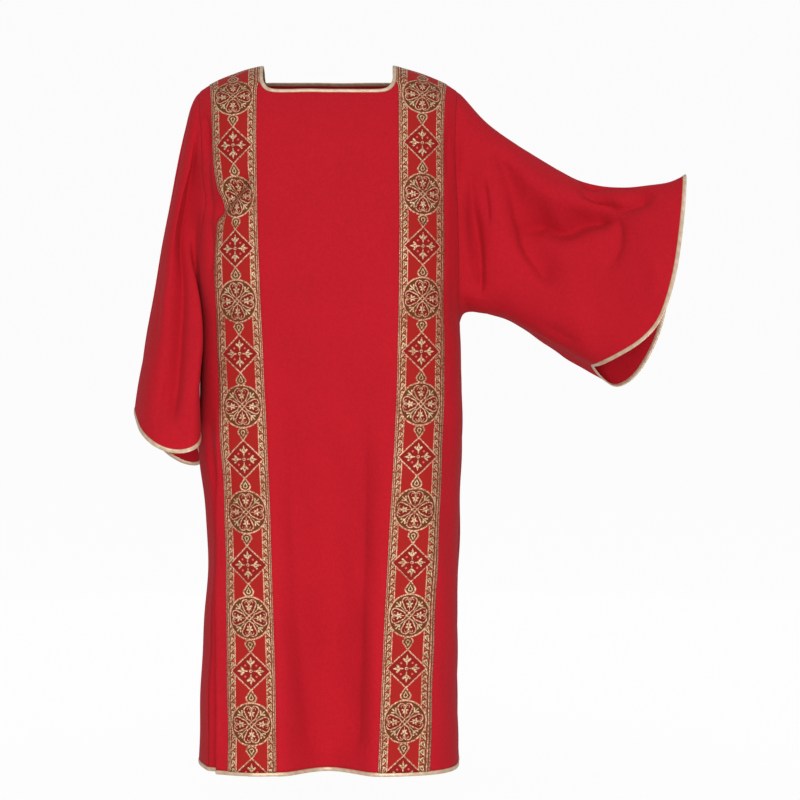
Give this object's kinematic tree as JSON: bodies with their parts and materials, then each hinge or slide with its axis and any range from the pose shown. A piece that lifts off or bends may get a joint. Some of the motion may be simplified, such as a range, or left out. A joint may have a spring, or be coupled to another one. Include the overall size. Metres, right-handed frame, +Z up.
{
  "type": "dalmatic",
  "caption": "Long liturgical tunic posed as worn, left arm held out: square neck, wide sleeves, woven bands over the shoulders from hem to hem, and bound edges.",
  "frame": {"origin": "middle of the neck opening, level with the points where the shoulders meet the neck, where the wearer holds the garment up", "axes": "+Z up, the front faces -Y, and +X is towards the wearer's left, where the sleeve is held out"},
  "size_m": [1.0093, 0.3393, 1.2993],
  "materials": {
    "red_crepe": "matte crepe, slightly grained",
    "galloon": "woven red and gold figured band with a soft metallic sheen",
    "gold_satin": "champagne gold satin binding"
  },
  "bodies": {
    "root": {"front": "red_crepe", "back": "red_crepe", "sleeve_right": "red_crepe", "sleeve_left": "red_crepe", "clavus_right": "galloon", "clavus_left": "galloon", "binding_neck": "gold_satin", "binding_hem": "gold_satin", "binding_cuff_right": "gold_satin", "binding_cuff_left": "gold_satin"}
  },
  "joints": []
}
